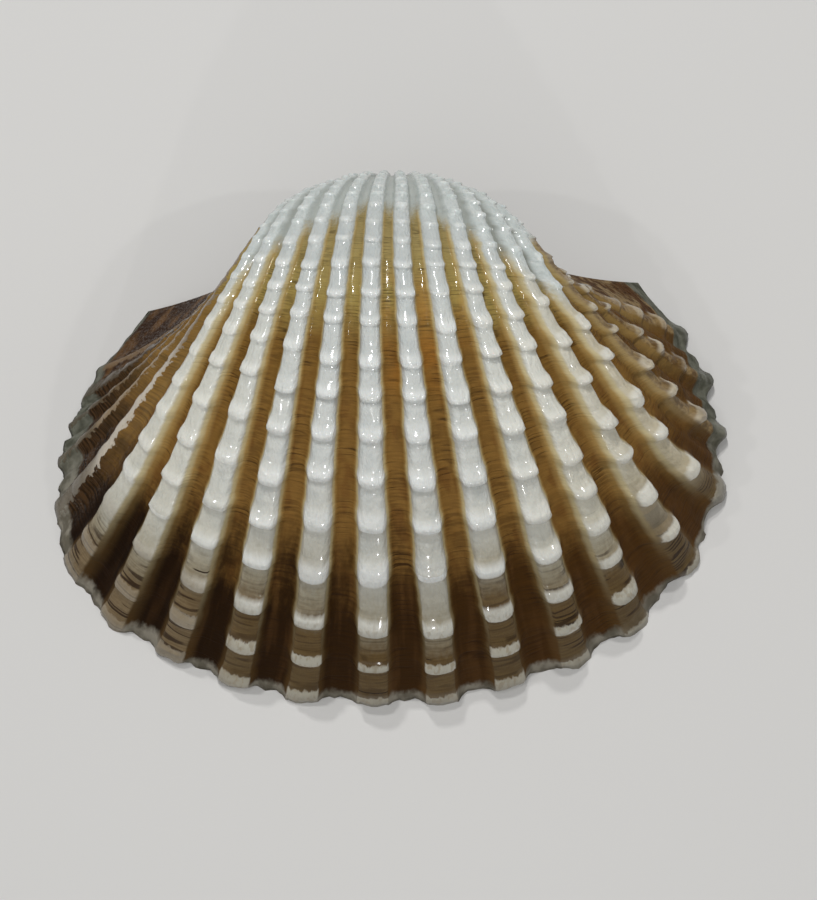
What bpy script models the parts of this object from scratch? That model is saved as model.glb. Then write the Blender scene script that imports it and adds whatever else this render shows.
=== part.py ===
"""One valve of an ark clam shell, lying on its margin with the ribbed outside up.

The hinge side faces +Y, the front end +X, and the rim of the valve is flat on Z = 0. The whole skin follows one
rule of growth: the margin is carried back round the beak, shrinking steadily, to the small shell that it once was.
"""

import math

import bmesh
import bpy
from mathutils import Matrix, Vector

MM = 0.001

# Margin of the valve in mm, from the rear hinge corner round the lower edge to the front hinge corner
MARGIN = (
    (-18.4, 11.6),
    (-23.3, 4.5),
    (-24.9, -2.5),
    (-23.6, -8.9),
    (-16.2, -15.4),
    (-1.4, -18.7),
    (8.8, -17.3),
    (18.1, -12.4),
    (24.2, -4.0),
    (24.7, 3.1),
    (22.2, 9.8),
    (18.5, 13.9),
)
CURVE_STEPS = 24

# Growth: the margin is turned back about a near-X axis and shrunk, by growth angles in radians of turn
COIL_CENTRE = Vector((0.27, 16.72, 5.68))
COIL_AXIS = Vector((0.993, 0.040, 0.110))
SHRINK = 0.65
SHRINK_GAIN = 0.136
BEAK_ANGLE = 3.2
TIP_ANGLE = 0.25
EARLY_ANGLE = 0.6
SWING = 0.11
SWING_TO_FRONT = 0.10
FRONT_SPREAD = 0.19
UMBO_SWELL = 0.41
UMBO_ANGLE = 1.9
UMBO_REACH = 0.6

# Ribs: 19, counted from the middle one at 0, the rear ones crowded
END_RIB = 9
CORNER = END_RIB + 1
MIDDLE_RIB_AT = 0.4815
RIB_SPACING = 5.08
EVEN_RIBS_TO = -6
CROWDING = 0.75
RIB_TOP = 0.20
RIB_FOOT = 0.30
RIB_HEIGHT = 0.9
NOTCH_SHARE = 0.45
NOTCH_ANGLE = 0.12
CORNER_WIDTH = 0.5
REAR_CORNER_MARKS = (-10.0, -9.7, -9.45)
FRONT_CORNER_MARKS = (9.6, 10.0)

# Knobs on the ribs, one for each pause in growth, wider apart on the front ribs
KNOB_STEP = 0.105
FRONT_STRETCH = 0.5
FRONT_KNOBS_FROM = 3
FRONT_KNOBS_OVER = 4
FIRST_KNOB = 0.02
KNOBS = 15
KNOB_HEIGHT = 0.35
KNOB_SPREAD = 0.05
EDGE_KNOB = 0.3
YOUNG_KNOB = 0.4
YOUNG_ROWS = 8

# Inside of the valve
WALL_SHARE = 0.88
CAVITY_ANGLE = 1.42
CAVITY_MIDDLE = Vector((0.3, -3.1, 0.0))
FLUTE_DEPTH = 0.55
FLUTE_REACH = 0.06
INSIDE_ROWS = (0.0, 0.05, 0.14, 0.30, 0.50, 0.70, 0.90, 1.08, 1.24, 1.36)

# Hinge: a straight toothed plate between the two corners
HINGE_STEPS = 9
TOOTH_GAPS = 32
TOOTH_GAP_WIDTH = 0.5
TOOTH_GAP_DEPTH = 0.6
TOOTH_GAP_REACH = 1.3
TOOTH_PITCH = 1.05
TOOTH_ROW_INSET = 0.1

# Finish of the shell
SHELL_COLOUR = (0.72, 0.66, 0.55, 1.0)
SHELL_ROUGHNESS = 0.35
SHARP_EDGE = math.radians(40)


def clear_scene():
    for item in list(bpy.data.objects):
        bpy.data.objects.remove(item, do_unlink=True)


def collection(name):
    made = bpy.data.collections.new(name)
    bpy.context.scene.collection.children.link(made)
    return made


def shell_material():
    material = bpy.data.materials.new("shell")
    material.use_nodes = True
    finish = material.node_tree.nodes["Principled BSDF"]
    finish.inputs["Base Color"].default_value = SHELL_COLOUR
    finish.inputs["Roughness"].default_value = SHELL_ROUGHNESS
    finish.inputs["Metallic"].default_value = 0.0
    material.diffuse_color = SHELL_COLOUR
    return material


def margin_line():
    """Points in mm along a smooth curve through the margin's own points."""
    curve = bpy.data.curves.new("margin", "CURVE")
    curve.resolution_u = CURVE_STEPS
    spline = curve.splines.new("BEZIER")
    spline.bezier_points.add(len(MARGIN) - 1)
    for knot, place in zip(spline.bezier_points, MARGIN):
        knot.co = (*place, 0.0)
        knot.handle_left_type = "AUTO"
        knot.handle_right_type = "AUTO"
    guide = bpy.data.objects.new("margin", curve)
    bpy.context.scene.collection.objects.link(guide)
    bpy.context.view_layer.update()
    evaluated = guide.evaluated_get(bpy.context.evaluated_depsgraph_get())
    line = [vertex.co.copy() for vertex in evaluated.to_mesh().vertices]
    bpy.data.objects.remove(guide, do_unlink=True)
    return line


def distances_along(line):
    """How far each point of a line is from its start, along it."""
    run = [0.0]
    for before, after in zip(line, line[1:]):
        run.append(run[-1] + (after - before).length)
    return run


def rib_distances(length):
    """Distance along the margin of each rib and of the two hinge corners."""
    middle = MIDDLE_RIB_AT * length
    places = {-CORNER: 0.0, 0: middle, CORNER: length}
    for rib in range(1, CORNER):
        places[rib] = middle + rib * RIB_SPACING
    step = RIB_SPACING
    for rib in range(-1, -CORNER, -1):
        if rib < EVEN_RIBS_TO:
            step *= CROWDING
        places[rib] = places[rib + 1] - step
    return places


def on_line(line, run, distance):
    """The point of a line at a distance along it, and the line's direction there."""
    for i in range(len(line) - 1):
        if distance <= run[i + 1] or i == len(line) - 2:
            step = line[i + 1] - line[i]
            share = (distance - run[i]) / step.length
            return line[i] + step * share, step.normalized()


def margin_at(line, run, places, rib):
    """Margin point at a rib number, whole or not, and the way out from it in the plane of the margin."""
    below = min(math.floor(rib), CORNER - 1)
    share = rib - below
    distance = places[below] * (1 - share) + places[below + 1] * share
    point, direction = on_line(line, run, distance)
    return point, Vector((direction.y, -direction.x, 0.0))


def grown(point, rib, angle):
    """Carries a point of the margin back to the shell's size at a growth angle."""
    side = rib / CORNER
    early = EARLY_ANGLE * (1 - math.exp(-angle / EARLY_ANGLE))
    swing = (SWING + SWING_TO_FRONT * side) * early
    spread = 1 + FRONT_SPREAD * side * early
    swell = 1 + UMBO_SWELL * math.exp(-(((angle - UMBO_ANGLE) / UMBO_REACH) ** 2))
    size = math.exp(-SHRINK * angle - SHRINK_GAIN * angle**2)
    arm = Matrix.Rotation(swing, 3, "Z") @ (point - COIL_CENTRE)
    arm.x *= spread * swell
    arm.y *= spread
    return COIL_CENTRE + size * (Matrix.Rotation(-angle, 3, COIL_AXIS) @ arm)


def stations():
    """Rib numbers of the skin's columns: foot, top, top and foot of every rib, and the two plain corners."""
    marks = [*REAR_CORNER_MARKS]
    for rib in range(-END_RIB, END_RIB + 1):
        marks += [rib - RIB_FOOT, rib - RIB_TOP, rib + RIB_TOP, rib + RIB_FOOT]
    return [*marks, *FRONT_CORNER_MARKS]


def outside_stages(mark):
    """Growth angles down a column from the beak to the margin, each with its share of a knob's height."""
    front = min(max((mark - FRONT_KNOBS_FROM) / FRONT_KNOBS_OVER, 0.0), 1.0)
    step = KNOB_STEP * (1 + FRONT_STRETCH * front)
    stages = [(0.0, EDGE_KNOB)]
    for i in range(KNOBS):
        angle = FIRST_KNOB + step * i
        stages += [(angle, 1.0), (angle + step / 2, 0.0)]
    last = stages[-1][0]
    for i in range(1, YOUNG_ROWS + 1):
        stages.append((last + (BEAK_ANGLE - last) * i / YOUNG_ROWS, YOUNG_KNOB))
    return stages[::-1]


def on_rib_top(mark):
    """Whether a column runs along the top of a rib, and not in a furrow or at a corner."""
    rib = round(mark)
    return abs(rib) <= END_RIB and abs(mark - rib) < (RIB_TOP + RIB_FOOT) / 2


def furrow_depth(mark, angle):
    """Depth below the rib tops: full between ribs, less at the margin, none at the hinge corners."""
    to_corner = min((CORNER - abs(mark)) / CORNER_WIDTH, 1.0)
    return RIB_HEIGHT * to_corner * (1 - NOTCH_SHARE * math.exp(-angle / NOTCH_ANGLE))


def outside_point(margin, mark, angle, knob):
    """Point of the ribbed outside at a rib number and a growth angle."""
    if on_rib_top(mark):
        rib = round(mark)
        mark = rib + (mark - rib) * (1 + KNOB_SPREAD / RIB_TOP * knob)
        rise = KNOB_HEIGHT * knob
    else:
        rise = -furrow_depth(mark, angle)
    point, outward = margin_at(*margin, mark)
    return grown(point + outward * rise, mark, angle)


def inside_point(margin, mark, angle):
    """Point of the smooth inside, which closes to a dome and is fluted along the rim."""
    point, outward = margin_at(*margin, mark)
    point = point - outward * RIB_HEIGHT
    share = WALL_SHARE * math.sqrt(1 - (angle / CAVITY_ANGLE) ** 2)
    inner = CAVITY_MIDDLE + (point - CAVITY_MIDDLE) * share
    if on_rib_top(mark):
        inner += outward * FLUTE_DEPTH * math.exp(-angle / FLUTE_REACH)
    return grown(inner, mark, angle)


def skin_rows():
    """All rows of the closed skin: beak, outside, rim, inside and the roof of the cavity."""
    line = margin_line()
    run = distances_along(line)
    margin = (line, run, rib_distances(run[-1]))
    columns = []
    for mark in stations():
        column = [outside_point(margin, mark, *stage) for stage in outside_stages(mark)]
        column += [inside_point(margin, mark, angle) for angle in INSIDE_ROWS]
        columns.append(column)
    rear, front = columns[0], columns[-1]
    for i in range(1, HINGE_STEPS):
        columns.append([a.lerp(b, i / HINGE_STEPS) for a, b in zip(front, rear)])
    beak = grown(CAVITY_MIDDLE, 0, BEAK_ANGLE + TIP_ANGLE)
    roof = grown(CAVITY_MIDDLE, 0, CAVITY_ANGLE)
    return [[beak] * len(columns), *zip(*columns), [roof] * len(columns)]


def valve_object(into, rows):
    """A sphere whose rings and meridians are laid on the rows and columns of the skin."""
    columns = len(rows[0])
    bands = len(rows) - 1
    mesh = bpy.data.meshes.new("valve")
    skin = bmesh.new()
    bmesh.ops.create_uvsphere(skin, u_segments=columns, v_segments=bands, radius=1.0)
    for vertex in skin.verts:
        latitude = math.acos(max(-1.0, min(1.0, vertex.co.z)))
        longitude = math.atan2(vertex.co.y, vertex.co.x)
        ring = round(latitude / math.pi * bands)
        meridian = round(longitude / math.tau * columns) % columns
        vertex.co = rows[ring][meridian] * MM
    bmesh.ops.recalc_face_normals(skin, faces=skin.faces)
    skin.to_mesh(mesh)
    skin.free()
    valve = bpy.data.objects.new("valve", mesh)
    into.objects.link(valve)
    return valve


def tooth_gaps(into):
    """Row of short slots across the hinge plate, which leaves the small comb teeth between them."""
    rear = Vector((*MARGIN[0], 0.0))
    front = Vector((*MARGIN[-1], 0.0))
    along = (front - rear).normalized()
    inward = Vector((along.y, -along.x, 0.0))
    plate = (1 - WALL_SHARE) * abs((CAVITY_MIDDLE - rear).dot(inward))
    middle = (rear + front) / 2 + inward * (plate / 2 + TOOTH_ROW_INSET)
    start = middle - along * TOOTH_PITCH * (TOOTH_GAPS - 1) / 2
    mesh = bpy.data.meshes.new("tooth_gaps")
    block = bmesh.new()
    bmesh.ops.create_cube(block, size=1.0)
    size = Vector((TOOTH_GAP_WIDTH, TOOTH_GAP_REACH, 2 * TOOTH_GAP_DEPTH)) * MM
    bmesh.ops.scale(block, vec=size, verts=block.verts)
    block.to_mesh(mesh)
    block.free()
    gaps = bpy.data.objects.new("tooth_gaps", mesh)
    gaps.location = start * MM
    gaps.rotation_euler.z = math.atan2(along.y, along.x)
    repeat = gaps.modifiers.new("row", "ARRAY")
    repeat.count = TOOTH_GAPS
    repeat.use_relative_offset = False
    repeat.use_constant_offset = True
    repeat.constant_offset_displace = (TOOTH_PITCH * MM, 0.0, 0.0)
    gaps.hide_render = True
    gaps.display_type = "WIRE"
    into.objects.link(gaps)
    return gaps


def main():
    clear_scene()
    parts = collection("ark_clam_shell")
    cutters = collection("cutters")
    valve = valve_object(parts, skin_rows())
    valve.data.materials.append(shell_material())
    cut = valve.modifiers.new("teeth", "BOOLEAN")
    cut.operation = "DIFFERENCE"
    cut.solver = "EXACT"
    cut.object = tooth_gaps(cutters)
    valve.data.shade_smooth()
    valve.data.set_sharp_from_angle(angle=SHARP_EDGE)


main()
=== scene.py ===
import math
from types import SimpleNamespace

import bpy
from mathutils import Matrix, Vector


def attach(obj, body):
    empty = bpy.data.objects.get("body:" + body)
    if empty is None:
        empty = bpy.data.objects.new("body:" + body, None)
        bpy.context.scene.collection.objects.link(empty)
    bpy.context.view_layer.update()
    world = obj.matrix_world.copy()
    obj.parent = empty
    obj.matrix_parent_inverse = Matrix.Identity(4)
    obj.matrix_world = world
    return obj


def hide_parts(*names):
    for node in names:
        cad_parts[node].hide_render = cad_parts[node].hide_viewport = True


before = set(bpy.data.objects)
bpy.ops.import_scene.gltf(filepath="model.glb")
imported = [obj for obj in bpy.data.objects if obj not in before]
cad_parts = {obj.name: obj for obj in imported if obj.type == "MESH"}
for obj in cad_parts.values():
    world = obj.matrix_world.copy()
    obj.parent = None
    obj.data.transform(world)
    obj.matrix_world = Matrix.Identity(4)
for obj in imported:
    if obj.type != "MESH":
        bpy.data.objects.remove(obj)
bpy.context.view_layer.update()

# The valve: one half of an ark clam's shell, a single piece of shell carbonate that the animal
# laid down from the beak outwards. Its margin is carried back round the beak, turning and
# shrinking, and the ribs, the knobs and the colours go with it.

MM = 0.001


class Wire:
    """A node tree's output that sums are written with; each sum adds its own nodes."""

    def __init__(self, tree, socket=None):
        self.tree = tree
        self.socket = socket

    def node(self, kind, settings, values, out=0):
        """Adds a node, sets what it does first and then the values or links of its inputs."""
        made = self.tree.nodes.new(kind)
        for name, value in settings.items():
            if name == "stops":
                set_stops(made.color_ramp, value)
            else:
                setattr(made, name, value)
        for name, value in values.items():
            if isinstance(value, Wire):
                self.tree.links.new(value.socket, made.inputs[name])
            else:
                made.inputs[name].default_value = value
        return Wire(self.tree, made.outputs[out])

    def maths(self, operation, *values):
        return self.node("ShaderNodeMath", {"operation": operation}, dict(enumerate(values)))

    def vectors(self, operation, *values):
        return self.node("ShaderNodeVectorMath", {"operation": operation}, dict(enumerate(values)))

    def scaled(self, factor):
        return self.node("ShaderNodeVectorMath", {"operation": "SCALE"}, {0: self, 3: factor})

    def part(self, index):
        return self.node("ShaderNodeSeparateXYZ", {}, {0: self}, index)

    def joined(self, x, y, z):
        return self.node("ShaderNodeCombineXYZ", {}, {0: x, 1: y, 2: z})

    def __add__(self, other):
        return self.maths("ADD", self, other)

    def __sub__(self, other):
        return self.maths("SUBTRACT", self, other)

    def __rsub__(self, other):
        return self.maths("SUBTRACT", other, self)

    def __mul__(self, other):
        return self.maths("MULTIPLY", self, other)

    def __truediv__(self, other):
        return self.maths("DIVIDE", self, other)

    def __pow__(self, other):
        return self.maths("POWER", self, other)

    def __neg__(self):
        return self.maths("MULTIPLY", self, -1.0)

    def __abs__(self):
        return self.maths("ABSOLUTE", self)

    __radd__ = __add__
    __rmul__ = __mul__

    def exp(self):
        return self.maths("EXPONENT", self)

    def sine(self):
        return self.maths("SINE", self)

    def cosine(self):
        return self.maths("COSINE", self)

    def rounded(self):
        return self.maths("ROUND", self)

    def fraction(self):
        return self.maths("FRACT", self)

    def under(self, limit):
        return self.maths("LESS_THAN", self, limit)

    def over(self, limit):
        return self.maths("GREATER_THAN", self, limit)

    def most(self, other):
        return self.maths("MAXIMUM", self, other)

    def between(self, low, high):
        return self.maths("MINIMUM", self.maths("MAXIMUM", self, low), high)

    def share(self):
        """Cut off below nought and above one."""
        return self.between(0.0, 1.0)

    def steady(self, start, end):
        """Runs in a straight line from nought to one while the value goes from start to end."""
        gone = self - start if end > start else start - self
        return gone.between(0.0, abs(end - start)) / abs(end - start)

    def rise(self, start, end, low=0.0, high=1.0):
        """Runs smoothly from low to high while the value goes from start to end."""
        return self.node(
            "ShaderNodeMapRange",
            {"interpolation_type": "SMOOTHSTEP"},
            {"Value": self, "From Min": start, "From Max": end, "To Min": low, "To Max": high},
        )

    def bell(self):
        """One at nought, falling away smoothly on both sides."""
        return (-(self * self)).exp()

    def fading(self, reach):
        """One at nought, and down to about a third of itself after each further reach."""
        return (-self / reach).exp()

    def toward(self, other, share):
        """Moves a place towards another one by a share of the way."""
        ends = {0: share, 4: self, 5: other}
        return self.node("ShaderNodeMix", {"data_type": "VECTOR"}, ends, 1)


def set_stops(colour_ramp, stops):
    """Gives a colour ramp its stops, each a place and a colour."""
    while len(colour_ramp.elements) < len(stops):
        colour_ramp.elements.new(1.0)
    for element, (place, colour) in zip(colour_ramp.elements, stops):
        element.position = place
        element.color = (*colour, 1.0)


def noise(x, y, seed, detail=2.0):
    """A smooth chance pattern from nought to one, the same on every run."""
    where = {"Vector": x.joined(x, y, seed), "Scale": 1.0, "Detail": detail}
    return x.node("ShaderNodeTexNoise", {}, where)


def uneven(x, y, seed):
    """Smooth chance variation about nought."""
    return noise(x, y, seed, 1.0) - 0.5


# The margin in its own plane, in mm, from the rear corner of the hinge round to the front one
MARGIN = (
    (-18.4, 11.6),
    (-23.3, 4.5),
    (-24.9, -2.5),
    (-23.6, -8.9),
    (-16.2, -15.4),
    (-1.4, -18.7),
    (8.8, -17.3),
    (18.1, -12.4),
    (24.2, -4.0),
    (24.7, 3.1),
    (22.2, 9.8),
    (18.5, 13.9),
)
STEPS_BETWEEN_POINTS = 24


def margin_curve():
    """The valve's margin as a smooth open curve through its points."""
    curve = bpy.data.curves.new("margin", "CURVE")
    curve.dimensions = "3D"
    curve.resolution_u = STEPS_BETWEEN_POINTS
    spline = curve.splines.new("BEZIER")
    spline.bezier_points.add(len(MARGIN) - 1)
    for knot, (x, y) in zip(spline.bezier_points, MARGIN):
        knot.co = (x * MM, y * MM, 0.0)
        knot.handle_left_type = "AUTO"
        knot.handle_right_type = "AUTO"
    guide = bpy.data.objects.new("margin", curve)
    bpy.context.scene.collection.objects.link(guide)
    return guide


# Ribs are numbered from the rear one to the front one; the hinge's two corners follow on from them
LAST_RIB = 9
CORNER = 10
LAST_EVEN_RIB = -6

# Rows of the sheet: down the outside, over the rim and up the inside; and its columns
OUTSIDE_ROWS = 212
RIM_ROWS = 6
INSIDE_ROWS = 16
LAST_ROW = OUTSIDE_ROWS + RIM_ROWS + INSIDE_ROWS
RIBBED_COLUMNS = 381
HINGE_COLUMNS = 23

# Sizes that the valve grows by, the inputs of its tree
VALVE_SIZES = {
    # How the margin is carried back: turns in radians back from the margin, the rest as shares
    "Coil centre": Vector((0.27, 16.72, 5.68)) * MM,
    "Coil axis": Vector((0.993, 0.040, 0.110)),
    "Shrink": 0.65,
    "Shrink gain": 0.136,
    "Beak angle": 3.2,
    "Tip angle": 0.25,
    "Swing": 0.11,
    "Swing to front": 0.10,
    "Front spread": 0.19,
    "Umbo swell": 0.41,
    "Umbo at": 1.9,
    "Umbo reach": 0.6,
    # Ribs: the middle one's share of the way round, then places, bends and widths in rib numbers
    "Middle rib at": 0.4815,
    "Rib spacing": 5.08 * MM,
    "Rear crowding": 0.75,
    "Rib waver": 0.07,
    "Front bend": 0.42,
    "Front bend at": 6.6,
    "Front bend reach": 2.6,
    "Bend by margin": 0.22,
    "Rear bend": 0.20,
    "Rib top": 0.20,
    "Rib height": 0.9 * MM,
    "Top rounding": 0.20 * MM,
    "Beak rounding": 0.30 * MM,
    # Knobs: steps and shifts in radians, spread in rib numbers, chance and limits as shares
    "Knob height": 0.32 * MM,
    "Knob step": 0.1025,
    "Knob spread": 0.030,
    "Knob bow": 0.35,
    "Front knob shift": 0.06,
    "Front knob spacing": 0.55,
    "Knob unevenness": 0.9,
    "Knob contrast": 2.6,
    "Lowest knob": 0.15,
    "Tallest knob": 1.7,
    # Fine relief: the low ridge is placed by rib numbers, reaches are in radians
    "Skin unevenness": 0.14 * MM,
    "Low ridge at": -9.3,
    "Low ridge width": 0.07,
    "Low ridge height": 0.30 * MM,
    "Lip reach": 0.02,
    "Chip depth": 0.7 * MM,
    "Lip set back": 0.10 * MM,
    "Fill reach": 0.10,
    "Tuck reach": 0.05,
    "Tuck of ribs": 0.85 * MM,
    "Less in furrows": 0.35 * MM,
    # The inside: the cavity's size as a share of the outside's, and turns in radians
    "Wall share": 0.88,
    "Cavity middle": Vector((0.3, -3.1, 0.0)) * MM,
    "Cavity angle": 1.42,
    "Flute depth": 0.55 * MM,
    "Flute reach": 0.06,
    # The hinge side, and the gap that is closed where sheets meet
    "Plate recess": 0.5 * MM,
    "Teeth": 46,
    "Tooth size": Vector((0.42, 1.5, 0.75)) * MM,
    "Tooth slant": 0.6,
    "Seam": 0.002 * MM,
}

# Radians of turn: over the first one the margin swings and spreads most, rows lie evenly up to
# the second, and knobs turn round between the last two
EARLY_TURN = 0.6
EVEN_TURN = 2.2
KNOBS_ROUND_FROM = (1.0, 1.3)

# How far a round knob sits off its rib's middle line, in rib numbers
PEARL_SET = 0.05

# The row of teeth: its distance from the hinge line, from both corners and from the rim's plane
TEETH_INSET = 1.45 * MM
TEETH_END_GAP = 1.0 * MM
TEETH_LIFT = 0.39 * MM


def new_tree(name, sizes):
    """A geometry tree with a named input for each size, and its inputs by name."""
    tree = bpy.data.node_groups.new(name, "GeometryNodeTree")
    tree.interface.new_socket("Geometry", in_out="INPUT", socket_type="NodeSocketGeometry")
    for size, value in sizes.items():
        kind = "Float"
        if isinstance(value, Vector):
            kind = "Vector"
        elif isinstance(value, int):
            kind = "Int"
        tree.interface.new_socket(size, in_out="INPUT", socket_type="NodeSocket" + kind)
    tree.interface.new_socket("Material", in_out="INPUT", socket_type="NodeSocketMaterial")
    tree.interface.new_socket("Geometry", in_out="OUTPUT", socket_type="NodeSocketGeometry")
    given = tree.nodes.new("NodeGroupInput")
    return tree, {socket.name: Wire(tree, socket) for socket in given.outputs if socket.name}


def grown(wire, size, point, side, angle):
    """Carries points of the margin back to the shell's size at a growth angle."""
    early = EARLY_TURN - EARLY_TURN * angle.fading(EARLY_TURN)
    swing = (size["Swing"] + size["Swing to front"] * side) * early
    spread = 1 + size["Front spread"] * side * early
    from_umbo = (angle - size["Umbo at"]) / size["Umbo reach"]
    swell = 1 + size["Umbo swell"] * from_umbo.bell()
    shrunk = (-(size["Shrink"] * angle) - size["Shrink gain"] * angle * angle).exp()
    arm = point.vectors("SUBTRACT", point, size["Coil centre"])
    arm = wire.node(
        "ShaderNodeVectorRotate", {"rotation_type": "Z_AXIS"}, {"Vector": arm, "Angle": swing}
    )
    arm = arm.vectors("MULTIPLY", arm, wire.joined(spread * swell, spread, 1.0))
    turned = wire.node(
        "ShaderNodeVectorRotate",
        {"rotation_type": "AXIS_ANGLE"},
        {"Vector": arm, "Axis": size["Coil axis"], "Angle": -angle},
    )
    return turned.vectors("ADD", turned.scaled(shrunk), size["Coil centre"])


def along_margin(wire, size, mark):
    """The margin's point at a rib number, and the way outwards there in the margin's plane."""
    margin = size["Geometry"]
    spacing = size["Rib spacing"]
    whole = wire.node("GeometryNodeCurveLength", {}, {"Curve": margin})
    middle = size["Middle rib at"] * whole
    distance = middle + spacing * mark.between(LAST_EVEN_RIB, LAST_RIB)
    rear_gap = middle + spacing * LAST_EVEN_RIB
    crowded = spacing
    for rib in range(LAST_EVEN_RIB, -LAST_RIB, -1):
        crowded = crowded * size["Rear crowding"]
        distance = distance - crowded * (rib - mark).share()
        rear_gap = rear_gap - crowded
    front_gap = whole - middle - spacing * LAST_RIB
    distance = distance - rear_gap * (-LAST_RIB - mark).share()
    distance = distance + front_gap * (mark - LAST_RIB).share()
    curve = {"Curves": margin, "Length": distance}
    point = wire.node("GeometryNodeSampleCurve", {"mode": "LENGTH"}, curve, 1)
    along = wire.node("GeometryNodeSampleCurve", {"mode": "LENGTH"}, curve, 2)
    return point, wire.joined(along.part(1), -along.part(0), 0.0)


def front_share(rib):
    """How much of the front ribs' own form a rib has: none up to the second, all from the fifth."""
    return rib.steady(2.0, 5.0)


def crest_at(beat, off_rib, roundness):
    """How far up a knob a place is: a pad, steep towards the margin, or a pearl on round knobs."""
    since = beat.fraction()
    pad = since.rise(0.11, 0.33, 1.0, 0.0).most(since.rise(0.84, 0.95))
    pearl = abs(since - 0.5).rise(0.28, 0.44)
    if isinstance(off_rib, Wire):
        pearl = pearl * off_rib.rise(0.34, 0.08)
    return pad + (pearl - pad) * roundness


def knob_chance(rib, beat):
    """Chance variation about nought, much the same all over one knob."""
    return uneven(rib * 3.1, (beat + 0.5).rounded() * 2.3, 4.5)


def sheet_grid(wire, columns):
    """A flat grid, one unit wide, with a row of points for each row of the valve's sheet."""
    counts = {"Size X": 1.0, "Size Y": 1.0, "Vertices X": columns, "Vertices Y": LAST_ROW + 1}
    return wire.node("GeometryNodeMeshGrid", {}, counts)


def kept(wire, mesh, values):
    """Stores values on the points of a mesh, under the names that the material reads."""
    for name, value in values.items():
        mesh = wire.node(
            "GeometryNodeStoreNamedAttribute",
            {"data_type": "FLOAT", "domain": "POINT"},
            {"Geometry": mesh, "Name": name, "Value": value},
        )
    return mesh


def put_together(tree, *meshes):
    """Joins meshes into one, in the order given."""
    join = tree.nodes.new("GeometryNodeJoinGeometry")
    for mesh in meshes:
        tree.links.new(mesh.socket, join.inputs[0])
    return Wire(tree, join.outputs[0])


def comb_teeth(wire, size):
    """Comb teeth along the hinge plate, longer and more slanted towards both ends."""
    rear_corner = Vector((*MARGIN[0], 0.0)) * MM
    front_corner = Vector((*MARGIN[-1], 0.0)) * MM
    run = (front_corner - rear_corner).normalized()
    shift = Vector((run.y, -run.x, 0.0)) * TEETH_INSET
    line = wire.node(
        "GeometryNodeMeshLine",
        {"mode": "END_POINTS"},
        {
            "Count": size["Teeth"],
            "Start Location": rear_corner + shift + run * TEETH_END_GAP,
            "Offset": front_corner + shift - run * TEETH_END_GAP,
        },
    )
    tooth = wire.node("GeometryNodeInputIndex", {}, {})
    lean = tooth / (size["Teeth"] - 1) * 2 - 1
    slant = math.atan2(run.y, run.x) - lean * abs(lean) * size["Tooth slant"]
    block = wire.node("GeometryNodeMeshCube", {}, {"Size": size["Tooth size"]})
    block = wire.node(
        "GeometryNodeSubdivisionSurface", {}, {0: block, "Level": 1, "Edge Crease": 0.55}
    )
    teeth = wire.node(
        "GeometryNodeInstanceOnPoints",
        {},
        {
            "Points": line,
            "Instance": block,
            "Rotation": wire.joined(0.0, 0.0, slant),
            "Scale": wire.joined(1.0, 0.75 + abs(lean) * 0.35, 1.0),
        },
    )
    teeth = wire.node("GeometryNodeRealizeInstances", {}, {"Geometry": teeth})
    lift = Vector((0.0, 0.0, TEETH_LIFT))
    teeth = wire.node("GeometryNodeTransform", {}, {"Geometry": teeth, "Translation": lift})
    return kept(wire, teeth, {"rim": 0.5, "area": 1.0})


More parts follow.
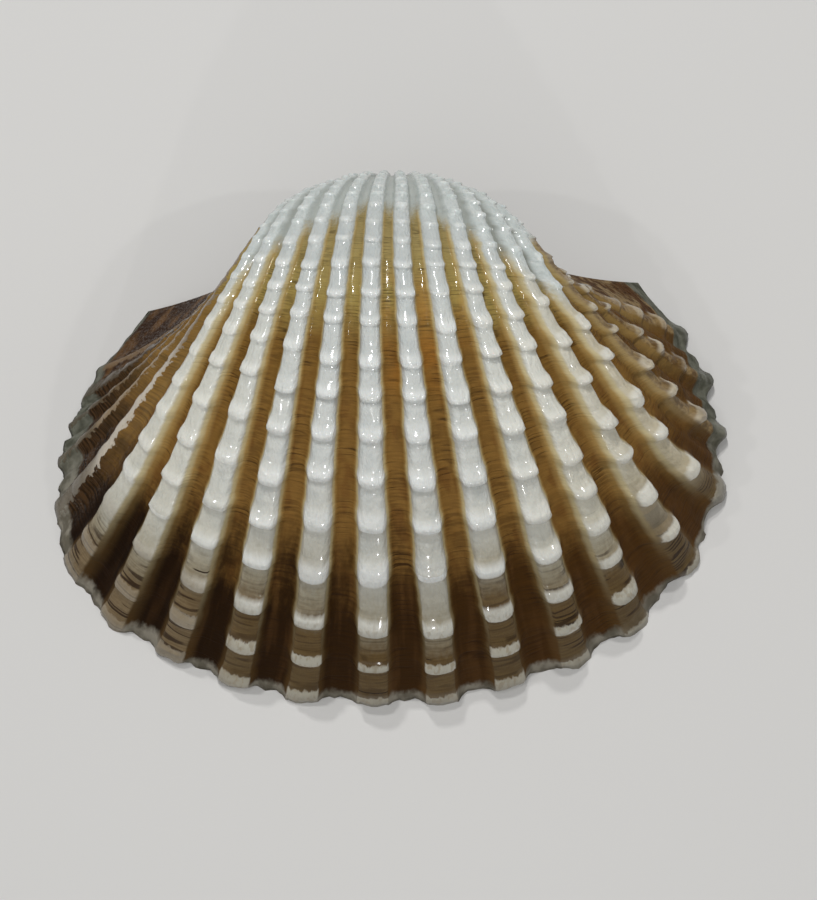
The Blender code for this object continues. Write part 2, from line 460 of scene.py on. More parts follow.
def valve_tree():
    """Grows the whole valve, its hinge side and its teeth, on the margin's curve."""
    tree, size = new_tree("valve_growth", VALVE_SIZES)
    wire = Wire(tree)
    place = wire.node("GeometryNodeInputPosition", {}, {})

    # Columns run from the rear corner to the front one, closer together on the ribs' slopes
    even = (place.part(0) + 0.5) * (2 * CORNER) - CORNER
    wave = 4 * math.pi
    mark = even + (even * wave).sine() * (0.5 / wave)
    point, outward = along_margin(wire, size, mark)

    # Rows run from the beak down the outside to the margin, over the rim and up the inside
    row = ((place.part(1) + 0.5) * LAST_ROW).rounded()
    to_beak = 1 - (row / OUTSIDE_ROWS).share()
    across = ((row - OUTSIDE_ROWS) / RIM_ROWS).share()
    indoors = ((row - OUTSIDE_ROWS - RIM_ROWS) / INSIDE_ROWS).share() * (math.pi / 2)
    pole = row.under(0.5) + row.over(LAST_ROW - 0.5)
    outside_angle = EVEN_TURN * to_beak + (size["Beak angle"] - EVEN_TURN) * to_beak**8
    inside_angle = size["Cavity angle"] * indoors.sine()
    angle = outside_angle + inside_angle + row.under(0.5) * size["Tip angle"]

    # Ribs waver a little. By the margin the front ones bend away from the middle, and higher up
    # the rear ones bend towards it
    reach = (1 - abs(mark - size["Front bend at"]) / size["Front bend reach"]).share()
    bent = reach * size["Front bend"] * (outside_angle / size["Bend by margin"]).bell()
    bent = bent + mark.rise(-4.8, -5.6) * outside_angle.rise(0.40, 0.70) * size["Rear bend"]
    number = mark - bent
    rib = number.rounded().between(-LAST_RIB, LAST_RIB)
    waver = uneven(rib * 1.7, outside_angle * 8.0, 2.5) * size["Rib waver"]
    off_rib = abs(number - rib + waver)
    front = front_share(rib)
    front_slope = number.steady(5.0, 9.0)
    rear_slope = number.steady(-5.0, -9.0)
    rear_fall = number.steady(-2.0, -6.0)

    # Knobs: one for each pause in growth, counted by the beat. They are lower on the rear ribs,
    # and taller, rounder and wider apart on the front ones
    spaced = rib.steady(4.0, 6.0)
    step = size["Knob step"] * (1 + size["Front knob spacing"] * spaced)
    beat = (outside_angle - spaced * size["Front knob shift"]) / step
    beat = beat + uneven(rib * 0.35, outside_angle * 6.0, 0.5) * size["Knob unevenness"]
    stout = 1 + knob_chance(rib, beat) * (size["Knob contrast"] + front_slope * 1.2)
    stout = stout.between(size["Lowest knob"], size["Tallest knob"])
    stout = stout * (1 - outside_angle.rise(0.6, 1.0) * 0.25)
    beat = beat - off_rib * off_rib * size["Knob bow"]
    roundness = front.most(outside_angle.rise(*KNOBS_ROUND_FROM))
    off_pearl = abs(number - rib + waver - front * PEARL_SET)
    by_beak = outside_angle.rise(0.9, 1.3) * (0.15 - 0.70 * front)
    crest = crest_at(beat, off_pearl, roundness) * (1 + by_beak)
    knob_height = size["Knob height"] * stout * (1 + 0.8 * front)
    knob_height = knob_height * (1 - 0.25 * front_slope) * (1 - 0.8 * rear_fall)

    # Half the width of a rib's top, in rib numbers: wider under a knob and by the beak, narrower
    # at both ends of the shell. The top is rounded across, also on a knob
    half = size["Rib top"] - 0.10 * ((front_slope + rear_slope) * 2).share() - front * 0.03
    half = half + outside_angle.rise(0.8, 1.4) * 0.08
    half = half + size["Knob spread"] * crest_at(beat, 0.0, roundness) * (1 + front)
    across_top = (off_rib / (half + 0.05)) ** 2.5
    crown = 1 - across_top.share() * 0.3
    rounding = size["Top rounding"] + outside_angle.rise(0.7, 1.3) * size["Beak rounding"]

    # Furrows: U-shaped, gentler on the side that faces the middle, and filled up by the margin
    to_middle = (number - rib + waver) * (rib * -0.35).between(-1.0, 1.0)
    gentle = (to_middle * 10).share() * abs(number).steady(2.0, 5.0)
    down = ((off_rib - half) / (0.5 - half)).share()
    furrow = 1 - (1 - down) ** (3.2 - 1.7 * gentle)
    to_corner = abs(mark).steady(CORNER, CORNER - 0.5)
    filled = 0.60 + abs(number).steady(3.0, 6.0) * 0.25
    depth = size["Rib height"] * to_corner * (1 - 0.85 * front_slope - 0.50 * rear_slope)
    depth = depth * (1 - filled * outside_angle.fading(size["Fill reach"]))

    # Relief of the outside, laid out in the margin's own plane so that it grows with the shell
    relief = (1 - furrow * (1 - front * 0.6)) * (knob_height * crest * crown) - furrow * depth
    relief = relief - (1 - furrow) * across_top * rounding
    relief = relief + uneven(mark * 5.5, outside_angle * 32.0, 8.5) * size["Skin unevenness"]
    from_ridge = (mark - size["Low ridge at"]) / size["Low ridge width"]
    relief = relief + from_ridge.bell() * size["Low ridge height"]
    relief = relief * (1 + 1.1 * outside_angle.between(0.0, 2.2) * (1 - 0.75 * front_slope))

    # The margin itself: chipped, and tucked in at the front
    lip = 1 - (outside_angle / size["Lip reach"]).share()
    tuck = rib.steady(4.0, 7.0) * outside_angle.fading(size["Tuck reach"])
    relief = relief - tuck * (size["Tuck of ribs"] - size["Less in furrows"] * furrow)
    chips = uneven(mark * 7.0, 0.5, 0.5) * size["Chip depth"] - size["Lip set back"]
    relief = relief + lip * chips
    outer = point.vectors("ADD", point, outward.scaled(relief * to_corner))

    # Inside: drawn in about the cavity's middle, smooth, and fluted under the ribs along the rim
    flute = size["Flute depth"] * inside_angle.fading(size["Flute reach"])
    flute = flute * (1 - off_rib.rise(0.12, 0.34))
    inner = point.vectors("SUBTRACT", point, outward.scaled(size["Rib height"]))
    inner = inner.vectors("SUBTRACT", inner, size["Cavity middle"])
    inner = inner.scaled(size["Wall share"] * indoors.cosine())
    inner = inner.vectors("ADD", inner, size["Cavity middle"])
    inner = inner.vectors("ADD", inner, outward.scaled(flute))
    flat = outer.toward(inner, across).toward(size["Cavity middle"], pole)
    where = grown(wire, size, flat, mark / CORNER * (1 - pole), angle)

    on_both = {"growth": outside_angle - inside_angle, "rim": across, "beat": beat}
    skin = kept(wire, sheet_grid(wire, RIBBED_COLUMNS), {"rib": number + waver, **on_both})
    skin = kept(wire, skin, {"area": 0.0})
    skin = wire.node("GeometryNodeSetPosition", {}, {"Geometry": skin, "Position": where})

    # The straight hinge side: every row goes on from the front corner to the rear one
    back = place.part(0) + 0.5
    sampled = {"data_type": "FLOAT_VECTOR", "domain": "POINT"}
    first = {"Geometry": skin, "Value": place, "Index": row}
    last = {**first, "Index": row + (RIBBED_COLUMNS - 1) * (LAST_ROW + 1)}
    rear_edge = wire.node("GeometryNodeSampleIndex", sampled, first)
    front_edge = wire.node("GeometryNodeSampleIndex", sampled, last)
    level = front_edge.toward(rear_edge, back)
    from_ends = (back * (1 - back) * 30).share()
    plate = across.rise(0.1, 0.3) * across.rise(0.95, 0.75) * from_ends
    level = level.vectors("ADD", level, wire.joined(0.0, 0.0, plate * size["Plate recess"]))
    numbers = {"rib": CORNER - back * (2 * CORNER)}
    hinge = kept(wire, sheet_grid(wire, HINGE_COLUMNS), {**numbers, **on_both, "area": from_ends})
    hinge = wire.node("GeometryNodeSetPosition", {}, {"Geometry": hinge, "Position": level})

    sheets = {"Geometry": put_together(tree, hinge, skin), "Distance": size["Seam"]}
    closed = wire.node("GeometryNodeMergeByDistance", {}, sheets)
    whole_valve = put_together(tree, comb_teeth(wire, size), closed)
    whole_valve = wire.node("GeometryNodeFlipFaces", {}, {0: whole_valve})
    whole_valve = wire.node("GeometryNodeSetShadeSmooth", {}, {"Geometry": whole_valve})
    whole_valve = wire.node("GeometryNodeRealizeInstances", {}, {"Geometry": whole_valve})
    whole_valve = wire.node(
        "GeometryNodeSetMaterial", {}, {"Geometry": whole_valve, "Material": size["Material"]}
    )
    done = tree.nodes.new("NodeGroupOutput")
    tree.links.new(whole_valve.socket, done.inputs[0])
    return tree


# Colours of the shell that stay the same along it
SHELL_COLOURS = {
    "front furrow": (0.102, 0.050, 0.011),
    "furrow blotch": (0.13, 0.052, 0.012),
    "amber": (0.31, 0.125, 0.016),
    "dark rear furrow": (0.010, 0.004, 0.001),
    "dark front furrow": (0.078, 0.033, 0.006),
    "furrow streak": (0.10, 0.046, 0.014),
    "growth line": (0.022, 0.009, 0.003),
    "rear growth line": (0.10, 0.050, 0.020),
    "tan rib": (0.25, 0.185, 0.105),
    "faint stripe": (0.070, 0.038, 0.016),
    "dark stripe": (0.030, 0.015, 0.007),
    "grey blotch": (0.40, 0.44, 0.44),
    "mottled knob": (0.33, 0.27, 0.18),
    "stained knob": (0.33, 0.265, 0.175),
    "ivory": (0.80, 0.74, 0.56),
    "yellowed rib": (0.50, 0.435, 0.300),
    "yellowed knob": (0.64, 0.60, 0.49),
    "dark front rib": (0.115, 0.062, 0.018),
    "pale front rib": (0.27, 0.180, 0.075),
    "rear rib by margin": (0.075, 0.058, 0.036),
    "rear rib by beak": (0.135, 0.088, 0.042),
    "crack": (0.03, 0.018, 0.01),
    "dull gold": (0.13, 0.072, 0.022),
    "gold": (0.42, 0.285, 0.100),
    "cream": (0.56, 0.50, 0.31),
    "pearl": (0.68, 0.66, 0.58),
    "front pearl": (0.56, 0.49, 0.36),
    "dark front corner": (0.075, 0.032, 0.009),
    "pale front corner": (0.24, 0.165, 0.080),
    "corner spot": (0.030, 0.013, 0.005),
    "dark rear corner": (0.032, 0.014, 0.006),
    "brown rear corner": (0.11, 0.055, 0.020),
    "low ridge": (0.20, 0.13, 0.07),
    "grey bare shell": (0.58, 0.625, 0.60),
    "bare shell": (0.72, 0.75, 0.725),
    # Painted shade for the gaps between the worn beads by the beak
    "bare gap": (0.44, 0.475, 0.455),
    "bare furrow": (0.42, 0.445, 0.415),
    "bare outer furrow": (0.24, 0.25, 0.215),
    "dark chalky edge": (0.13, 0.115, 0.085),
    "chalky edge": (0.27, 0.245, 0.195),
    "dark greenish edge": (0.070, 0.070, 0.050),
    "greenish edge": (0.145, 0.145, 0.112),
    "grey inside": (0.68, 0.67, 0.63),
    "white inside": (0.76, 0.75, 0.72),
    "hinge brown": (0.12, 0.070, 0.035),
    "dark hinge brown": (0.045, 0.025, 0.012),
}

# Colours that change on the way from the margin to the beak; the rear ribs' from rib to rib
SHELL_RAMPS = {
    "furrow": (
        (0.00, (0.16, 0.078, 0.020)),
        (0.28, (0.22, 0.115, 0.028)),
        (0.56, (0.185, 0.097, 0.021)),
        (0.66, (0.33, 0.245, 0.070)),
        (0.85, (0.31, 0.240, 0.095)),
    ),
    # Painted shade: this ramp and the knob's one dim a little from the middle up to the beak, to
    # even out the stronger light that falls high up.
    "rib between knobs": (
        (0.00, (0.13, 0.086, 0.036)),
        (0.10, (0.15, 0.095, 0.036)),
        (0.155, (0.34, 0.300, 0.210)),
        (0.22, (0.55, 0.540, 0.475)),
        (0.33, (0.61, 0.620, 0.585)),
        (0.75, (0.54, 0.565, 0.545)),
    ),
    "knob": (
        (0.0, (0.39, 0.355, 0.275)),
        (0.1, (0.51, 0.485, 0.400)),
        (0.2, (0.70, 0.705, 0.670)),
        (0.32, (0.75, 0.760, 0.730)),
        (0.8, (0.70, 0.720, 0.695)),
    ),
    "rear rib": (
        (0.2, (0.53, 0.465, 0.370)),
        (0.4, (0.25, 0.175, 0.095)),
        (0.6, (0.14, 0.092, 0.046)),
        (0.8, (0.075, 0.050, 0.030)),
    ),
}

# The first three ramps span this many radians of turn from the margin
RAMP_TURN = 1.5

# Chance patterns: how fine each is across the ribs and along them, its seed and its detail
SHELL_PATTERNS = {
    "patches": (1.1, 7.0, 3.0, 2.0),
    "blotches": (2.6, 13.0, 25.0, 2.0),
    "grain": (14.0, 60.0, 7.0, 2.0),
    "specks": (34.0, 160.0, 5.0, 1.0),
    "flakes": (9.0, 55.0, 33.0, 3.0),
    "faint lines": (2.2, 170.0, 1.0, 2.0),
    "strong lines": (0.30, 55.0, 11.0, 0.0),
    "strong line ends": (1.6, 11.0, 13.0, 1.0),
    "line crowding": (1.3, 9.0, 41.0, 1.0),
    "furrow streaks": (6.0, 6.0, 37.0, 2.0),
    "stripes": (0.6, 50.0, 15.0, 0.0),
    "stripe ends": (2.2, 20.0, 19.0, 1.0),
    "crack edges": (8.0, 9.0, 31.0, 1.0),
    "corner spots": (13.0, 26.0, 29.0, 2.0),
    "edge clouds": (5.0, 25.0, 35.0, 2.0),
    "hinge bands": (3.0, 26.0, 5.0, 1.0),
    "ripples": (14.0, 50.0, 21.0, 2.0),
}

# What is the same all over: a thin wet-looking gloss, on shell that lets a little light in
SHELL_FINISH = {
    "Coat Roughness": 0.11,
    "Specular IOR Level": 0.05,
    "Subsurface Weight": 0.10,
    "Subsurface Radius": (1.0, 0.75, 0.55),
    "Subsurface Scale": 0.15 * MM,
}

# How far growth lines and ripples stand out
BUMP_STRENGTH = 0.7
BUMP_DEPTH = 0.06 * MM


def blend(share, first, second):
    """Goes from one colour to another; each is a wire, a name in the list, or its three parts."""
    ends = {0: share}
    for socket, end in ((6, first), (7, second)):
        ends[socket] = end if isinstance(end, Wire) else (*SHELL_COLOURS.get(end, end), 1.0)
    return share.node("ShaderNodeMix", {"data_type": "RGBA"}, ends, 2)


def ramp(place, name):
    """The colour at a place, from nought to one, on one of the shell's ramps."""
    return place.node("ShaderNodeValToRGB", {"stops": SHELL_RAMPS[name]}, {"Fac": place})


def shell_guide(wire):
    """What the colours follow: rib number and growth at each place, regions, patches, lines."""

    def stored(name):
        return wire.node("ShaderNodeAttribute", {"attribute_name": name}, {}, 2)

    def pattern(name):
        across, along, seed, detail = SHELL_PATTERNS[name]
        return noise(at.mark * across, at.growth * along, seed, detail)

    at = SimpleNamespace(pattern=pattern)
    at.mark = stored("rib")
    at.growth = stored("growth")
    at.rim = stored("rim")
    at.beat = stored("beat")
    at.area = stored("area")
    at.rib = at.mark.rounded().between(-LAST_RIB, LAST_RIB)
    at.off_rib = abs(at.mark - at.rib)
    at.front = front_share(at.rib)
    at.off_pearl = abs(at.mark - at.rib - at.front * PEARL_SET)
    roundness = at.front.most(at.growth.rise(*KNOBS_ROUND_FROM))
    at.knob = crest_at(at.beat, at.off_pearl, roundness)
    at.stout = knob_chance(at.rib, at.beat)
    at.rear_end = at.mark.rise(-5.35, -5.75)
    at.front_end = at.mark.rise(6.3, 7.1)
    at.to_middle = (at.mark - at.rib) * (at.mark * -0.35).between(-1.0, 1.0)
    at.flank = (at.to_middle * 8).share() * (abs(at.mark) - 1.5).between(0.0, 3.0) / 3
    at.patches = pattern("patches") - 0.5
    at.blotches = pattern("blotches") - 0.5
    at.grain = pattern("grain") - 0.5
    at.flakes = pattern("flakes") - 0.5
    at.specks = pattern("specks")

    # Growth lines: dense faint ones, and here and there a strong thin one
    at.faint = pattern("faint lines").rise(0.38, 0.62)
    strong = abs(pattern("strong lines") - 0.5).rise(0.035, 0.010)
    at.strong = strong * pattern("strong line ends").rise(0.44, 0.60)
    return at


def furrow_colours(at):
    """Golden, with amber over the middle, and dark brown by the margin, most so at the rear."""
    mark, growth = at.mark, at.growth
    golden = ramp((growth + at.patches * 0.2) / RAMP_TURN, "furrow")
    golden = blend(at.front_end * 0.85, golden, "front furrow")
    blotched = at.blotches.rise(0.0, 0.16) * growth.rise(0.9, 0.5) * 0.5
    golden = blend(blotched, golden, "furrow blotch")
    amber = growth.rise(0.66, 0.80) * growth.rise(1.16, 0.95)
    amber = amber * mark.rise(-0.2, 0.8) * mark.rise(3.1, 2.2)
    furrow = blend(amber * at.patches.rise(-0.15, 0.10) * 0.6, golden, "amber")

    dark = blend(mark.rise(-5.0, 6.0), "dark rear furrow", "dark front furrow")
    streaks = at.pattern("furrow streaks") - 0.5
    streaked = streaks.rise(-0.05, 0.20) * mark.rise(-6.0, -1.0) * 0.45
    dark = blend(streaked, dark, "furrow streak")
    ragged = growth + at.patches * 0.35 + at.grain * 0.10 + streaks * 0.10
    furrow = blend(ragged.rise(0.42, 0.20) * (1 - at.front_end * 0.6), furrow, dark)

    crowded = at.pattern("line crowding").rise(0.42, 0.60)
    lines = at.faint * (0.14 + crowded * 0.24) + at.strong * 0.45
    furrow = blend(lines.share(), furrow, "growth line")
    return blend(at.faint * at.rear_end * growth.rise(0.6, 0.3) * 0.5, furrow, "rear growth line")


def between_knobs(at):
    """Greyish white shell between a rib's knobs, which turns tan and striped by the margin."""
    mark, growth = at.mark, at.growth
    own = noise(at.rib * 3.7, growth * 3.0, 9.0, 0.0) - 0.5
    up = growth + own * 0.25 + at.grain * 0.04 - mark.rise(1.0, 5.0) * 0.05
    low = up.rise(0.30, 0.16)
    between = ramp(up / RAMP_TURN, "rib between knobs")
    between = blend(mark.rise(-1.6, -3.4) * up.rise(0.20, 0.12) * 0.7, between, "tan rib")
    stripes = abs(at.pattern("stripes") - 0.5).rise(0.070, 0.030) * low
    stripes = stripes * at.pattern("stripe ends").rise(0.38, 0.50)
    between = blend(at.faint * low * 0.35, between, "faint stripe")
    between = blend(stripes * (0.35 + abs(mark).rise(1.5, 3.5) * 0.55), between, "dark stripe")
    blotched = at.blotches.rise(-0.05, 0.20) * up.rise(0.2, 0.4) * 0.30
    return blend(blotched, between, "grey blotch")


def rib_colours(at):
    """Bluish white knobs on greyer ribs; yellowed towards the front, brown on both end slopes."""
    mark, growth = at.mark, at.growth
    between = between_knobs(at)
    far = growth.rise(0.10, 0.34)
    stained = mark.rise(-1.7, -3.4) * growth.rise(0.32, 0.15)
    rough_knob = at.knob + (at.grain * 0.9 + at.patches * 0.5) * (1 - far)
    soft = far * (1 - at.front * 0.7)
    edges = {0: rough_knob, 1: 0.45 - soft * 0.40, 2: 0.62 + soft * 0.36}
    on_knob = mark.node("ShaderNodeMapRange", {}, edges)
    on_knob = on_knob * (1 - stained * 0.5) * (1 - at.stout.rise(-0.02, -0.20) * far * 0.7)

    knob_white = ramp(growth / RAMP_TURN, "knob")
    mottled = at.grain.rise(-0.02, 0.13) * growth.rise(0.26, 0.14) * 0.6
    knob_white = blend(mottled, knob_white, "mottled knob")
    knob_white = blend(stained * 0.75, knob_white, "stained knob")
    top = blend(on_knob, between, knob_white)
    warmed = abs(mark).rise(0.8, 4.5) * growth.rise(1.3, 0.7) * growth.rise(0.16, 0.40)
    top = blend(warmed * 0.30, top, "ivory")
    yellowed = (mark - 4.0).between(0.0, 2.0) / 2.4 * growth.rise(0.10, 0.24)
    top = blend(yellowed, top, blend(on_knob, "yellowed rib", "yellowed knob"))

    marbled = (at.blotches + at.grain * 0.6).rise(-0.18, 0.18)
    top = blend(at.front_end, top, blend(marbled, "dark front rib", "pale front rib"))
    rear_rib = ramp((-5.0 - mark) / 5, "rear rib")
    by_margin = (growth + at.patches * 0.3).rise(0.28, 0.08) * 0.85
    rear_rib = blend(by_margin, rear_rib, "rear rib by margin")
    by_beak = (growth + at.patches * 0.4).rise(0.50, 0.80) * 0.80
    rear_rib = blend(by_beak, rear_rib, "rear rib by beak")
    top = blend(at.rear_end, top, rear_rib)

    # Cracks: thin dark lines behind some of the knobs
    chosen = noise(at.rib * 5.3 + 0.4, (at.beat + 0.5).rounded() * 3.7 + 0.4, 2.0, 0.0)
    since = at.beat.fraction() + at.pattern("crack edges") * 0.030
    arc = since.rise(0.325, 0.335) * since.rise(0.360, 0.345)
    arc = arc * growth.rise(0.36, 0.30) * (1 - at.rear_end)
    partly = noise(mark * 2.0, at.rib * 2.7, 27.0, 0.0).rise(0.40, 0.50)
    return blend(arc * chosen.rise(0.56, 0.59) * partly, top, "crack")


def ribbed_colours(at):
    """Ribs on furrows, with gold that fades down a rib's side, further on the side that faces
    the middle. Returns the colour, the share of a rib's own colour and that of a round knob."""
    mark, growth, flank = at.mark, at.growth, at.flank
    width = 0.250 - mark.rise(3.4, 5.6) * 0.045 - mark.rise(5.4, 7.2) * 0.06
    width = width + at.grain * 0.03 - flank * 0.03
    width = width + at.knob * 0.02 * (1 + at.front) + growth.rise(0.8, 1.4) * 0.06
    width = width - growth.rise(0.36, 0.14) * mark.rise(5.5, 3.5) * 0.040
    fade = 0.012 + flank * 0.018
    on_rib = at.off_rib.rise(width + fade, width - fade)
    ragged = 0.15 - mark.rise(-6.3, -7.0) * 0.05 + at.flakes * 0.34 + at.patches * 0.08
    rear_rib = at.to_middle.rise(-0.13, -0.10) * at.to_middle.rise(ragged + 0.015, ragged - 0.015)
    on_rib = on_rib + (rear_rib - on_rib) * at.rear_end

    gilded = at.off_rib.rise(width + 0.10 + flank * 0.18, width + 0.01)
    gilded = gilded * (1 - at.rear_end * 0.8 - at.front_end * 0.5)
    gold = blend(growth.rise(0.10, 0.5), "dull gold", "gold")
    skin = blend(gilded * (0.45 + growth.rise(0.1, 0.5) * 0.4), furrow_colours(at), gold)
    creamy = at.off_rib.rise(width + 0.06 + flank * 0.06, width + flank * 0.02)
    creamy = creamy * (1 - at.rear_end - at.front_end) * growth.rise(0.05, 0.4)
    skin = blend(creamy * 0.75, skin, "cream")
    skin = blend(on_rib, skin, rib_colours(at))

    pearl = at.knob.rise(0.35, 0.80) * at.front * growth.rise(1.3, 1.0)
    pearl = pearl * at.off_pearl.rise(0.30, 0.22)
    whiteness = 0.05 + growth.rise(0.08, 0.34) * 0.75
    whiteness = whiteness * (1 - at.front_end * at.stout.rise(0.08, -0.12))
    skin = blend(pearl * whiteness, skin, blend(at.front_end, "pearl", "front pearl"))
    return skin, on_rib, pearl


def with_corners(at, skin):
    """The plain corners by the hinge: mottled in front; dark behind, with a thin low ridge."""
    mottled = blend(at.blotches.rise(-0.06, 0.08), "dark front corner", "pale front corner")
    spots = at.pattern("corner spots") - 0.5
    mottled = blend(spots.rise(0.04, 0.14) * 0.7, mottled, "corner spot")
    skin = blend(at.mark.rise(9.05, 9.3), skin, mottled)
    behind = blend(at.blotches.rise(-0.05, 0.15), "dark rear corner", "brown rear corner")
    low_ridge = abs(at.mark - VALVE_SIZES["Low ridge at"] + at.flakes * 0.06).rise(0.06, 0.03)
    behind = blend(low_ridge * 0.8, behind, "low ridge")
    return blend(at.mark.rise(-9.10, -9.2), skin, behind)


def with_worn_beak(at, skin):
    """Worn beak: the colour has gone, and bare bluish shell shows, with painted shade between its
    beads.
    """
    mark, growth = at.mark, at.growth
    from_middle = mark - 0.3
    onset = 1.42 - from_middle * from_middle * 0.015
    onset = onset + (noise(mark * 2.0, growth, 5.0) - 0.5) * 0.20
    onset = onset + (mark.rise(-5.3, -6.0) + mark.rise(6.2, 7.0)) * 0.6
    worn = (growth - onset + at.grain * 0.1).rise(-0.07, 0.09)
    clouded = (at.blotches + at.grain * 0.5).rise(-0.15, 0.15)
    bare_top = blend(clouded, "grey bare shell", "bare shell")
    # Painted shade: the gaps between the beads are darkened so that the beads stand out.
    bare_top = blend(at.knob.rise(0.6, 0.2) * 0.4, bare_top, "bare gap")
    bare_floor = blend(abs(mark).rise(2.0, 6.0), "bare furrow", "bare outer furrow")
    return blend(worn, skin, blend(at.off_rib.rise(0.24, 0.38), bare_top, bare_floor))


def with_edge_and_inside(at, skin, on_rib):
    """Translucent edge, wider at both ends; white inside, greyer on the rim; brown hinge area."""
    mark, growth = at.mark, at.growth
    band = 0.018 + mark.rise(5.0, 8.0) * 0.11
    band = band + mark.rise(-5.0, -7.0) * mark.rise(-9.5, -8.3) * 0.07
    band = band + at.patches * 0.06 + at.grain * 0.02
    cloudy = (at.pattern("edge clouds") - 0.5).rise(-0.15, 0.15)
    chalky = blend(cloudy, "dark chalky edge", "chalky edge")
    greenish = blend(cloudy, "dark greenish edge", "greenish edge")
    chalky = blend(abs(mark).rise(5.5, 7.5), chalky, greenish)
    on_edge = (growth - band).rise(0.014, -0.004) * (1 - on_rib * mark.rise(6.4, 4.8) * 0.7)
    skin = blend(on_edge, skin, chalky)
    inside = blend(at.patches.rise(-0.2, 0.2), "grey inside", "white inside")
    skin = blend(at.rim.rise(0.0, 0.25), skin, inside)
    bands = at.pattern("hinge bands").rise(0.4, 0.6)
    hinge = blend(bands, "hinge brown", "dark hinge brown")
    return blend(at.area.rise(0.1, 0.9) * at.rim.rise(0.2, 0.0), skin, hinge)


def shell_material():
    """White and brown shell under a wet-looking gloss, with growth lines and ripples as bump."""
    material = bpy.data.materials.new("shell_carbonate")
    material.use_nodes = True
    tree = material.node_tree
    finish = tree.nodes["Principled BSDF"]
    at = shell_guide(Wire(tree))
    skin, on_rib, pearl = ribbed_colours(at)
    skin = with_corners(at, skin)
    skin = with_worn_beak(at, skin)
    skin = with_edge_and_inside(at, skin, on_rib)

    # Gloss: on the ribs and high up, broken into specks in the furrows, gone by the margin
    wet = at.growth.rise(0.80, 1.0) * at.specks.rise(0.48, 0.56)
    up_high = at.growth.rise(0.16, 0.34) * (1 - at.front_end * 0.8)
    glazed = on_rib * (0.15 + 0.85 * at.knob.rise(0.0, 0.5).most(up_high))
    rear_glints = at.rear_end * at.specks.rise(0.50, 0.60) * 0.8
    gloss = glazed.most(pearl).most(wet).most(rear_glints).most(at.rim * 0.5)

    # Bump: growth lines cut into the furrows, and fine ripples, strongest on the ribs
    lined = (1 - at.faint * 0.2 - at.strong * 0.4) * (1 - on_rib * 0.9)
    height = lined + at.pattern("ripples") * (0.6 + on_rib * 2.4 + at.front_end * 1.5)
    height = height * (1 - at.rim)
    bump = {"Strength": BUMP_STRENGTH, "Distance": BUMP_DEPTH, "Height": height}
    changing = {
        "Base Color": skin,
        "Coat Weight": gloss,
        "Roughness": 0.5 + at.grain * 0.3,
        "Normal": height.node("ShaderNodeBump", {}, bump),
    }
    for name, value in changing.items():
        tree.links.new(value.socket, finish.inputs[name])
    for name, value in SHELL_FINISH.items():
        finish.inputs[name].default_value = value
    return material


def grow(guide, tree, sizes, material, name):
    """Runs a growth tree on a guide and returns the plain mesh object that it makes."""
    growth = guide.modifiers.new("growth", "NODES")
    growth.node_group = tree
    for item in tree.interface.items_tree:
        if item.in_out == "INPUT" and item.name in sizes:
            growth[item.identifier] = sizes[item.name]
        if item.in_out == "INPUT" and item.name == "Material":
            growth[item.identifier] = material
    bpy.context.view_layer.update()
    evaluated = guide.evaluated_get(bpy.context.evaluated_depsgraph_get())
    mesh = bpy.data.meshes.new_from_object(evaluated)
    mesh.name = name
    mesh.materials.clear()
    mesh.materials.append(material)
    guide.modifiers.clear()
    bpy.data.objects.remove(guide, do_unlink=True)
    made = bpy.data.objects.new(name, mesh)
    bpy.context.scene.collection.objects.link(made)
    return made


valve = grow(margin_curve(), valve_tree(), VALVE_SIZES, shell_material(), "ark_valve")
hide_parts("valve")
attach(valve, "root")

# The table: a plain pale painted board that the valve lies on, open side down.
# It is one flat square, wide enough to fill every view, just below the valve's rim.

TABLE_REACH = 1.5
TABLE_DROP = 0.02 * MM
TABLE_DARK = (0.60, 0.59, 0.57)
TABLE_PALE = (0.64, 0.63, 0.61)
TABLE_ROUGHNESS = 0.7


def table_material():
    """Matt paint with a faint cloudy mottle."""
    material = bpy.data.materials.new("pale_table")
    material.use_nodes = True
    wire = Wire(material.node_tree)
    finish = material.node_tree.nodes["Principled BSDF"]
    place = wire.node("ShaderNodeTexCoord", {}, {}, 3)
    mottle = wire.node(
        "ShaderNodeTexNoise", {}, {"Vector": place, "Scale": 9.0, "Detail": 3.0}
    )
    tint = blend(mottle, TABLE_DARK, TABLE_PALE)
    material.node_tree.links.new(tint.socket, finish.inputs["Base Color"])
    finish.inputs["Roughness"].default_value = TABLE_ROUGHNESS
    return material


table_mesh = bpy.data.meshes.new("table")
corners = [
    (x * TABLE_REACH, y * TABLE_REACH, -TABLE_DROP) for x, y in ((-1, -1), (1, -1), (1, 1), (-1, 1))
]
table_mesh.from_pydata(corners, [], [(0, 1, 2, 3)])
table_mesh.materials.append(table_material())
table = bpy.data.objects.new("table", table_mesh)
bpy.context.scene.collection.objects.link(table)

# The light: two small square lamps beyond the hinge side give the main light, and five weaker
# ones round the shell put glints on its knobs. Two wide soft boxes and a pale surround fill in.

AIM = Vector((1.18, 0.63, 0.0)) * MM

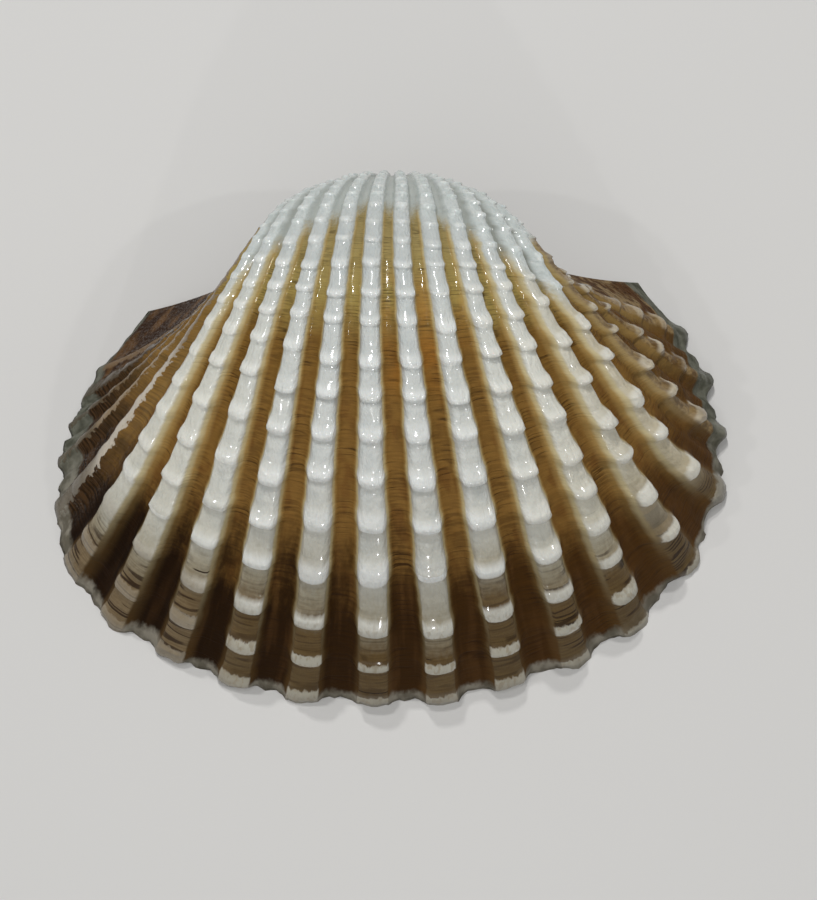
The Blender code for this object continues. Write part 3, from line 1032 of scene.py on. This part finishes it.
# Each lamp's name, its place and its width in metres, and its power in watts
LAMPS = (
    ("high_key", (-0.045, 0.215, 0.415), 0.016, 0.55),
    ("low_key", (-0.045, 0.262, 0.370), 0.016, 0.48),
    ("top_key", (-0.03, 0.09, 0.45), 0.016, 0.13),
    ("front_key", (-0.02, -0.13, 0.44), 0.016, 0.14),
    ("low_front", (0.03, -0.40, 0.24), 0.011, 0.15),
    ("right_key", (0.30, -0.08, 0.36), 0.014, 0.15),
    ("left_key", (-0.30, -0.08, 0.36), 0.014, 0.15),
    ("fill_box", (-0.15, -0.35, 0.50), 0.60, 0.70),
    ("side_box", (0.40, 0.05, 0.30), 0.25, 0.14),
)
SURROUND_COLOUR = (0.80, 0.82, 0.85)
SURROUND_STRENGTH = 0.20

for lamp_name, lamp_place, width, power in LAMPS:
    lamp = bpy.data.lights.new(lamp_name, "AREA")
    lamp.shape = "SQUARE"
    lamp.size = width
    lamp.energy = power
    box = bpy.data.objects.new(lamp_name, lamp)
    box.location = lamp_place
    box.rotation_euler = (AIM - Vector(lamp_place)).to_track_quat("-Z", "Y").to_euler()
    bpy.context.scene.collection.objects.link(box)

world = bpy.data.worlds.new("surround")
world.use_nodes = True
surround = world.node_tree.nodes["Background"]
surround.inputs["Color"].default_value = (*SURROUND_COLOUR, 1.0)
surround.inputs["Strength"].default_value = SURROUND_STRENGTH
bpy.context.scene.world = world

# The camera: close above the lower edge, looking down on the ribs at the photograph's angle.
# It aims by the middle of the shell, from as near as the photograph was taken.

CAMERA_RISE = math.radians(72)
CAMERA_REACH = 0.22
SENSOR_WIDTH = 36.0
FOCAL_LENGTH = 118.8
NEAREST_SEEN = 0.01
FARTHEST_SEEN = 10.0

lens = bpy.data.cameras.new("camera")
lens.sensor_width = SENSOR_WIDTH
lens.lens = FOCAL_LENGTH
lens.clip_start = NEAREST_SEEN
lens.clip_end = FARTHEST_SEEN
camera = bpy.data.objects.new("camera", lens)
to_camera = Vector((0.0, -math.cos(CAMERA_RISE), math.sin(CAMERA_RISE)))
camera.location = AIM + to_camera * CAMERA_REACH
camera.rotation_euler = (math.radians(90) - CAMERA_RISE, 0.0, 0.0)
bpy.context.scene.collection.objects.link(camera)
bpy.context.scene.camera = camera
bpy.context.scene.view_settings.view_transform = "Standard"
